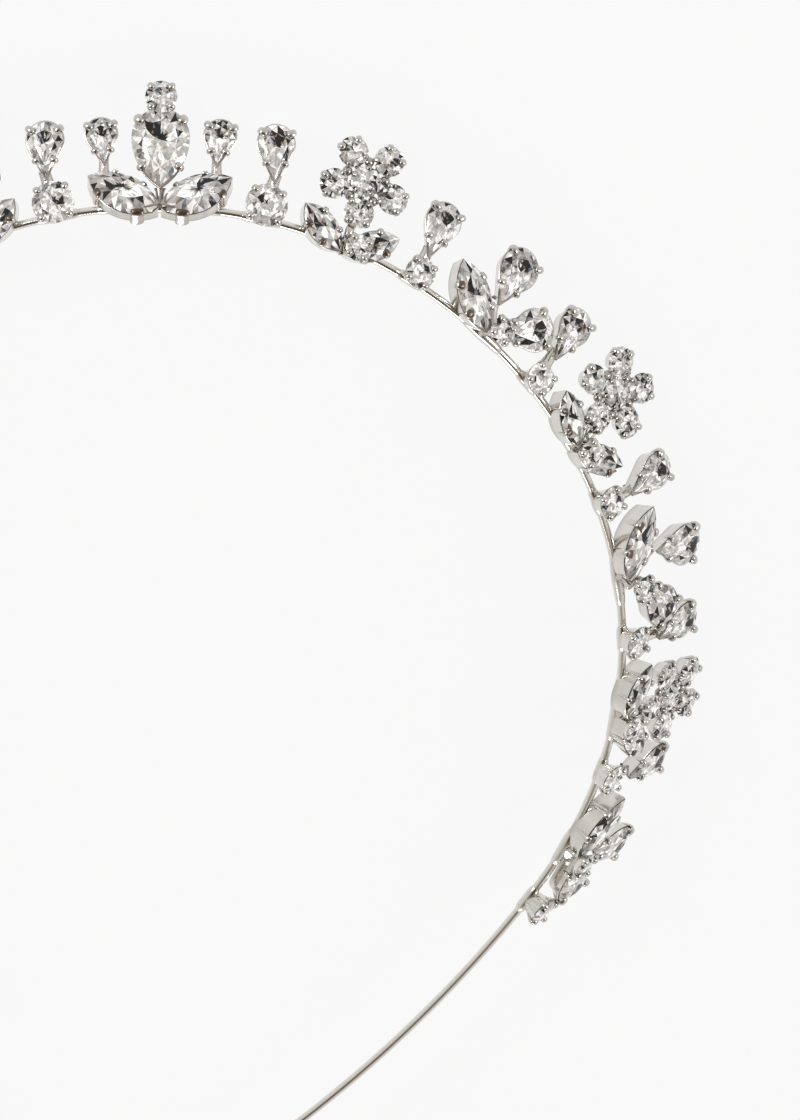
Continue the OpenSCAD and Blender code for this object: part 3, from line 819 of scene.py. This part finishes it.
def add_post(work, at, foot):
    """A post that carries a stone in front of a joint."""
    # Each row is the level, a factor on the radius and the painted shade
    rows = ((BACK, 1.7, 0.2), (BACK + 0.6, 1.1, 0.2), (POST_TOP - 0.5, 1.0, 0.3), (POST_TOP, 1.2, 0.4))
    path = [Vector((foot[0], foot[1], z)) for z, _, _ in rows]
    widths = [(POST_R * k, POST_R * k) for _, k, _ in rows]
    add_bar(work, at, path, widths, Vector((1, 0, 0)), [row[-1] for row in rows], sides=12)


def add_bead(work, at, middle, size, stain):
    """A small bead of solder, with its half sizes along, up and through, and the painted shade that darkens
    it.
    """
    rows, sides = 7, 12
    rings = []
    for k in range(rows):
        a = math.pi * (k + 0.5) / rows
        rings.append([
            Vector((
                middle[0] + size[0] * math.sin(a) * math.cos(b),
                middle[1] + size[1] * math.sin(a) * math.sin(b),
                middle[2] - size[2] * math.cos(a),
            ))
            for b in turns(sides)
        ])
    work.add_rings(rings, [stain] * rows, at)


def wire_ring(length, radius, sides):
    """A ring round the wire at a length from its middle, which is negative on the mirrored side."""
    middle, out = path_at(abs(length)), direction(heading_at(abs(length)))
    side = -1 if length < 0 else 1
    ring = []
    for a in turns(sides):
        q = middle + radius * math.cos(a) * out
        ring.append(Vector((side * q.x, q.y, radius * math.sin(a))))
    return ring


def add_solder(work, start, end):
    """Solder that has run along the wire under a group and thins out at both ends."""
    # The last value is a faint painted shade on the solder
    step, skin, extra, ripple, ripple_turn, stain = 0.5, 0.015, 0.32, 0.12, 9, 0.05
    count = max(8, int(abs(end - start) / step))
    rings = []
    for k in range(count + 1):
        t = k / count
        bulge = math.sin(math.pi * t) ** 0.5
        wave = 1 + ripple * math.sin(t * ripple_turn + start)
        radius = WIRE_R + skin + extra * bulge * wave
        rings.append(wire_ring(start + (end - start) * t, radius, sides=20))
    work.add_rings(rings, [stain] * len(rings), Matrix())


# Groups

def flower_stones(group):
    """The flower's middle, its five petals, its two leaves and the joint's round, in this order."""
    middle = group.middle
    stones = [round_stone("petal", PETAL_D, *middle)]
    for a in PETAL_TURNS:
        along = middle[0] + PETAL_R * math.cos(a * DEG)
        up = middle[1] + PETAL_R * math.sin(a * DEG)
        stones.append(round_stone("petal", PETAL_D, along, up, 90 - a))
    stones += [long_stone("leaf", SMALL_LEAF, *leaf) for leaf in (group.leaf_a, group.leaf_b)]
    return stones + [round_stone("joint", JOINT_D, *group.joint, 0, FRONT_SEAT)]


def add_setting(work, place, stones, first_claws=None):
    """The cups and claws of a group, with places for the first stone's claws if they aren't the usual."""
    crest = crest_frame(place)
    for i, stone in enumerate(stones):
        at = crest @ stone_frame(stone)
        add_cup(work, stone, at)
        add_claws(work, stone, at, first_claws if i == 0 else None)


SEEDS_A_GROUP = 101


def add_stones(work, place, stones, seed):
    crest = crest_frame(place)
    for i, stone in enumerate(stones):
        rng = random.Random(seed * SEEDS_A_GROUP + i)
        main = LARGE_FACETS if stone.length > LARGE_STONE else FACETS
        add_stone(work, stone, crest @ stone_frame(stone), rng, main)


def drop_group(work, group, seed):
    """A round on the wire and a drop above it, on a flat neck."""
    below = round_stone("round", group.round_d, group.along, group.up)
    drop = long_stone("drop", DROP, group.drop_along, group.drop_up, group.drop_turn)
    add_setting(work, group.place, [below, drop])
    foot, tip = Vector((below.along, below.up)), low_end(drop)
    rise = (tip - foot).normalized()
    neck_top, neck_foot = tip + NECK_TOP * rise, foot + NECK_FOOT_SHARE * below.width * rise
    add_stem(work, crest_frame(group.place), neck_top, neck_foot, radius=NECK_R, start_flare=NECK_FLARE)
    centre = group.place + below.along
    add_solder(work, centre - below.width * 0.5, centre + below.width * 0.5)
    add_stones(work, group.place, [below, drop], seed)


def add_flower_solder(work, crest, middle, petals):
    """Stems from the flower's middle to its petals, and beads in the corners between them."""
    for petal in petals:
        out = (Vector((petal.along, petal.up)) - middle) / PETAL_R
        half_way = middle + out * PETAL_R / 2
        # Painted shade darkens the stems between the petals
        add_stem(work, crest, half_way - out, half_way + out, PETAL_STEM_LEVEL, PETAL_STEM_R, stain=0.35)
    for petal_turn in PETAL_TURNS:
        a = (petal_turn + HALF_PETAL) * DEG
        corner = middle + BEAD_AT * Vector((math.cos(a), math.sin(a)))
        add_bead(work, crest, (corner.x, corner.y, BEAD_LEVEL), BEAD, BEAD_SHADE)


def flower_group(work, group, seed):
    """A flower of six rounds over two leaves, with a round in front of their joint."""
    stones = flower_stones(group)
    petals, leaves = stones[1:6], stones[6:8]
    low_petal = min(petals, key=lambda petal: petal.up)
    add_setting(work, group.place, stones, BETWEEN_PETALS)
    crest = crest_frame(group.place)
    add_flower_solder(work, crest, Vector(group.middle), petals)
    add_stem(work, crest, (low_petal.along, low_petal.up - PETAL_FOOT), group.foot)
    for leaf in leaves:
        add_stem(work, crest, group.foot, low_end(leaf))
    along, up = group.foot
    add_bead(work, crest, (along + PLATE_ALONG, up + PLATE_UP, PLATE_LEVEL), PLATE, PLATE_SHADE)
    add_post(work, crest, group.foot)
    before, after = FLOWER_SOLDER
    add_solder(work, group.place + group.leaf_a[0] + before, group.place + group.leaf_b[0] + after)
    add_stones(work, group.place, stones, seed)


def spray_group(work, group, seed):
    """A leaf and two drops that meet behind a round."""
    leaf_and_drops = [long_stone("leaf", LEAF, *group.leaf)]
    leaf_and_drops += [long_stone("drop", SPRAY_DROP, *drop) for drop in (group.drop_a, group.drop_b)]
    stones = leaf_and_drops + [round_stone("joint", JOINT_D, *group.joint, 0, FRONT_SEAT)]
    add_setting(work, group.place, stones)
    crest = crest_frame(group.place)
    for stone in leaf_and_drops:
        add_stem(work, crest, group.joint, low_end(stone))
    add_stem(work, crest, group.joint, group.foot)
    add_post(work, crest, group.foot)
    from_leaf, past_middle = SPRAY_SOLDER
    add_solder(work, group.place + group.leaf[0] + from_leaf, group.place + past_middle)
    add_stones(work, group.place, stones, seed)


def end_group(work, seed):
    """The last single round of the crest."""
    add_setting(work, END_PLACE, [END_STONE])
    centre = END_PLACE + END_STONE.along
    add_solder(work, centre - END_SOLDER, centre + END_SOLDER)
    add_stones(work, END_PLACE, [END_STONE], seed)


def centre_metal():
    """The cups, claws, necks and solder of the middle. Its stones are pieces of their own."""
    work, crest = Work(), crest_frame(0)
    add_setting(work, 0, list(MIDDLE.values()))
    for name in ("centre_side_drop_left", "centre_side_drop_right"):
        tip = low_end(MIDDLE[name])
        top, foot = tip + Vector((0, NECK_TOP)), tip - Vector((0, SIDE_NECK_LENGTH))
        add_stem(work, crest, top, foot, radius=SIDE_NECK_R, start_flare=NECK_FLARE)
    # Painted shade darkens the stem under the large drop
    add_stem(work, crest, low_end(MIDDLE["centre_drop"]), (0, 0), stain=0.5)
    add_post(work, crest, (0, TOP_POST_UP))
    add_solder(work, -MIDDLE_SOLDER, MIDDLE_SOLDER)
    return work


def circlet_wire():
    """The round wire from one end to the other, with rounded ends."""
    work = Work()
    total = FRONT_L + SIDE_L + TAIL_LENGTH
    count, end_rings, end_step = 420, 6, 0.245
    turned = [end_step * k for k in range(1, end_rings + 1)]
    end = [(total + WIRE_R * math.sin(a), WIRE_R * math.cos(a)) for a in turned]
    rows = [(-length, radius) for length, radius in reversed(end)]
    rows += [(total * (2 * k / count - 1), WIRE_R) for k in range(count + 1)] + end
    rings = [wire_ring(length, radius, sides=24) for length, radius in rows]
    work.add_rings(rings, [0.0] * len(rings), Matrix())
    return work


# Materials

class Socket:
    """A socket of a node tree, with the sums that shaders need."""

    def __init__(self, nodes, socket):
        self.nodes, self.socket = nodes, socket

    def _math(self, operation, *values):
        return self.nodes.node("ShaderNodeMath", {"operation": operation}, dict(enumerate(values)))[0]

    def __add__(self, other):
        return self._math("ADD", self, other)

    def __mul__(self, other):
        return self._math("MULTIPLY", self, other)

    def __sub__(self, other):
        return self._math("SUBTRACT", self, other)

    def __rsub__(self, other):
        return self._math("SUBTRACT", other, self)

    def __gt__(self, other):
        return self._math("GREATER_THAN", self, other)

    def __lt__(self, other):
        return self._math("LESS_THAN", self, other)

    __radd__, __rmul__ = __add__, __mul__


class Nodes:
    """A node tree, to which one method adds every node."""

    def __init__(self, tree):
        self.tree = tree

    def node(self, kind, settings=None, sockets=None):
        """Adds a node, sets it up, then sets or links its sockets, and gives its outputs."""
        made = self.tree.nodes.new(kind)
        for key, value in (settings or {}).items():
            if key == "stops":
                self.set_stops(made.color_ramp, value)
            else:
                setattr(made, key, value)
        for key, value in (sockets or {}).items():
            self.put(value, made.inputs[key])
        return [Socket(self, s) for s in made.outputs]

    def set_stops(self, ramp, stops):
        while len(ramp.elements) < len(stops):
            ramp.elements.new(0.5)
        for element, (place, shade) in zip(ramp.elements, stops):
            element.position = place
            element.color = (*shade, 1)

    def put(self, value, into):
        if isinstance(value, Socket):
            self.tree.links.new(value.socket, into)
        else:
            into.default_value = value

    def output(self, name, kind, settings=None, sockets=None):
        made = self.node(kind, settings, sockets)
        return next(s for s in made if s.socket.name == name)

    def mix(self, factor, a, b):
        made = self.node("ShaderNodeMix", {"data_type": "RGBA"}, {0: factor, 6: a, 7: b})
        return next(s for s in made if s.socket.name == "Result" and s.socket.type == "RGBA")


class Shader(Nodes):
    """One material: its principled surface and the nodes that feed it."""

    def __init__(self, name, **settings):
        self.material = bpy.data.materials.new(name)
        self.material.use_nodes = True
        super().__init__(self.material.node_tree)
        self.surface = self.tree.nodes["Principled BSDF"]
        self.feed(**settings)

    def feed(self, **sockets):
        for name, value in sockets.items():
            self.put(value, self.surface.inputs[name.replace("_", " ")])


def colour(r, g, b):
    return (r, g, b, 1)


def rhodium_material():
    """Polished rhodium plate, faintly clouded and grained, with dark brown shade painted in where the mesh
    marks it.
    """
    plate, clouded = (0.80, 0.775, 0.735), 0.84
    clear, cloudy = colour(*plate), colour(*(c * clouded for c in plate))
    # The dark brown of the painted shade
    shade_brown = colour(0.10, 0.065, 0.045)
    shader = Shader("polished rhodium", Metallic=1.0, Specular_IOR_Level=0.6)
    position = shader.output("Object", "ShaderNodeTexCoord")
    tarnish = shader.output("Fac", "ShaderNodeAttribute", {"attribute_name": "tarnish"})
    cloud = shader.node("ShaderNodeTexNoise", None, {"Vector": position, "Scale": 420.0, "Detail": 3.0})[0]
    grain = shader.node("ShaderNodeTexNoise", None, {"Vector": position, "Scale": 2600.0, "Detail": 2.0})[0]
    plain = shader.mix(cloud, clear, cloudy)
    relief = {"Strength": 0.12, "Distance": 0.04 * MM, "Height": grain + cloud}
    shader.feed(
        # Painted shade: darker brown in gaps, crevices and joints, and on claws whose highlights are dulled
        Base_Color=shader.mix(tarnish, plain, shade_brown),
        Roughness=cloud * 0.16 + grain * 0.06 + tarnish * 0.15 + 0.05,
        Normal=shader.output("Normal", "ShaderNodeBump", None, relief),
    )
    return shader.material


# Painted reflections inside a crystal, from dark through grey to light, and where its painted glints begin
# to glow
CRYSTAL_STOPS = (
    (0.0, (0.01, 0.009, 0.008)), (0.2, (0.035, 0.034, 0.033)), (0.32, (0.16, 0.155, 0.15)),
    (0.46, (0.4, 0.385, 0.37)), (0.64, (0.6, 0.58, 0.56)), (0.8, (0.85, 0.84, 0.82)),
)
SHINE_STOPS = ((0.66, (0, 0, 0)), (0.92, (1, 1, 1)))
DARK_TONE = 0.04


def crystal_material():
    """Clear cut crystal: each facet's tone of painted reflection, broken up by coarse and fine cells of
    painted reflection, with a few tinted painted sparks and painted glints that glow.
    """
    shader = Shader("cut crystal", IOR=1.55, Specular_IOR_Level=0.2, Coat_Roughness=0.03, Coat_IOR=1.6,
                    Emission_Strength=0.36)
    tone = shader.output("Fac", "ShaderNodeAttribute", {"attribute_name": "tone"})
    grain = shader.output("Vector", "ShaderNodeAttribute", {"attribute_name": "grain"})
    # Painted reflections: cells of light and dark inside the stone
    coarse_reflections = shader.output("Color", "ShaderNodeTexVoronoi", None, {"Vector": grain, "Scale": 1.0})
    fine_reflections = shader.output("Color", "ShaderNodeTexVoronoi", None, {"Vector": grain, "Scale": 2.3})
    coarse, gloss, _ = shader.node("ShaderNodeSeparateColor", None, {0: coarse_reflections})
    fine, tint, _ = shader.node("ShaderNodeSeparateColor", None, {0: fine_reflections})
    lit = tone > DARK_TONE
    level = (tone * 0.5 + coarse * 0.4 + fine * 0.16 - 0.04) * (lit * 0.85 + 0.15)
    # The facets' painted reflections, which stand in for the crystal's colour
    body = shader.node("ShaderNodeValToRGB", {"stops": CRYSTAL_STOPS}, {0: level})[0]
    # Painted sparks of fire: a few cells tinted blue or warm
    cool = shader.mix((tint > 0.95) * 0.25, body, colour(0.42, 0.56, 0.8))
    warm = shader.mix((tint < 0.05) * 0.3, cool, colour(0.75, 0.5, 0.36))
    shader.feed(
        Base_Color=warm,
        Roughness=gloss * 0.08 + 0.04,
        Coat_Weight=lit * 0.88 + 0.12,
        # Painted glints: the lightest levels glow through emission
        Emission_Color=shader.node("ShaderNodeValToRGB", {"stops": SHINE_STOPS}, {0: level})[0],
    )
    return shader.material


# Pieces

rhodium, crystal = rhodium_material(), crystal_material()


def link(name, data):
    made = bpy.data.objects.new(name, data)
    bpy.context.scene.collection.objects.link(made)
    return made


def dress(work, name, nodes):
    """Makes the piece that stands for some nodes of the frame."""
    made = link(name, work.mesh(name))
    made.data.materials.append(rhodium)
    made.data.materials.append(crystal)
    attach(made, "root")
    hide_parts(*nodes)


# Each row is a kind's name, its groups, what makes one, and a seed, to which number and side are added
KINDS = (
    ("drop", DROPS, drop_group, 20),
    ("flower", FLOWERS, flower_group, 30),
    ("spray", SPRAYS, spray_group, 25),
)
GROUP_SEEDS, SIDE_SEEDS, MIDDLE_SEED, END_SEED = 17, 400, 900, 77


def dress_middle():
    dress(centre_metal(), "centre_claws_and_cups", ["centre_setting"])
    for number, (name, stone) in enumerate(MIDDLE.items()):
        work = Work()
        add_stones(work, 0, [stone], MIDDLE_SEED + number)
        dress(work, name + "_crystal", [name])


def dress_side(side, side_seed):
    for kind, groups, make_group, seed in KINDS:
        for i, group in enumerate(groups, 1):
            work = Work(side)
            make_group(work, group, seed + GROUP_SEEDS * i + side_seed)
            nodes = [f"{kind}_setting_{i}_{side}", f"{kind}_stones_{i}_{side}"]
            dress(work, f"{kind}_group_{i}_{side}", nodes)
    work = Work(side)
    end_group(work, END_SEED + side_seed)
    dress(work, f"end_group_{side}", [f"end_setting_{side}", f"end_stone_{side}"])


dress(circlet_wire(), "circlet_wire", ["band"])
dress_middle()
dress_side("left", 0)
dress_side("right", SIDE_SEEDS)


# The floor, the light and the camera

def make_floor():
    half = 1.5
    corners = [(-half, -half, 0), (half, -half, 0), (half, half, 0), (-half, half, 0)]
    plane = bpy.data.meshes.new("floor")
    plane.from_pydata(corners, [], [(0, 1, 2, 3)])
    made = link("floor", plane)
    shader = Shader("pale floor", Base_Color=colour(0.04, 0.04, 0.04), Roughness=0.9,
                    Specular_IOR_Level=0.0, Emission_Color=colour(1, 1, 1), Emission_Strength=0.904)
    plane.materials.append(shader.material)


def make_light(name, place, size, power):
    """A soft panel that faces the middle of the floor. Its place and size are in metres."""
    data = bpy.data.lights.new(name, "AREA")
    data.shape, data.size, data.size_y, data.energy = "RECTANGLE", size[0], size[1], power
    made = link(name, data)
    made.location = place
    made.rotation_euler = (-Vector(place)).to_track_quat("-Z", "Y").to_euler()


# The image, its pixels to a millimetre, and the pixel that the middle of the wire's front falls on
IMAGE_W, IMAGE_H = 800, 1120
PIXELS_A_MM = 5.613
FRONT_X, FRONT_Y = 159.7, 207.3
AZIMUTH, ELEVATION = 0.94, 60.6
CAMERA_FAR = 6.0


def make_camera():
    """A long lens at the photograph's angle, rolled half a turn, because the crest points up there."""
    azimuth, elevation = AZIMUTH * DEG, ELEVATION * DEG
    data = bpy.data.cameras.new("camera")
    made = link("camera", data)
    right = Vector((-math.cos(azimuth), -math.sin(azimuth), 0))
    ahead = Vector((-math.sin(azimuth), math.cos(azimuth), 0))
    up = -math.sin(elevation) * ahead - math.cos(elevation) * Vector((0, 0, 1))
    back = right.cross(up)
    across = (IMAGE_W / 2 - FRONT_X) / PIXELS_A_MM
    downwards = (IMAGE_H / 2 - FRONT_Y) / PIXELS_A_MM
    target = Vector((0, -MIDDLE_Y, REST_HEIGHT)) + across * right - downwards * up
    place = target * MM + back * CAMERA_FAR
    made.matrix_world = Matrix((
        (right.x, up.x, back.x, place.x),
        (right.y, up.y, back.y, place.y),
        (right.z, up.z, back.z, place.z),
        (0, 0, 0, 1),
    ))
    data.lens = data.sensor_width * CAMERA_FAR / (IMAGE_H / PIXELS_A_MM * MM)
    data.clip_start, data.clip_end = 1, 20
    bpy.context.scene.camera = made


# From the studio's floor and walls to its ceiling
STUDIO_STOPS = (
    (0.0, (0.85, 0.85, 0.84)), (0.6, (0.76, 0.74, 0.71)),
    (0.83, (0.5, 0.46, 0.42)), (0.93, (0.1, 0.075, 0.06)),
)


def make_world():
    """A studio with pale walls and a dim brown ceiling."""
    studio = bpy.data.worlds.new("studio")
    studio.use_nodes = True
    nodes = Nodes(studio.node_tree)
    way = nodes.output("Generated", "ShaderNodeTexCoord")
    height = nodes.output("Z", "ShaderNodeSeparateXYZ", None, {0: way})
    shade = nodes.node("ShaderNodeValToRGB", {"stops": STUDIO_STOPS}, {0: height})[0]
    nodes.put(shade, studio.node_tree.nodes["Background"].inputs["Color"])
    bpy.context.scene.world = studio


make_floor()
make_light("soft_key", (0.9, -1.0, 1.1), (0.5, 0.5), 9)
make_light("soft_side", (-1.2, -0.3, 0.9), (0.3, 0.6), 5)
make_light("soft_back", (0.3, 1.2, 1.0), (0.7, 0.3), 5)
make_camera()
make_world()
bpy.context.scene.view_settings.view_transform = "Standard"
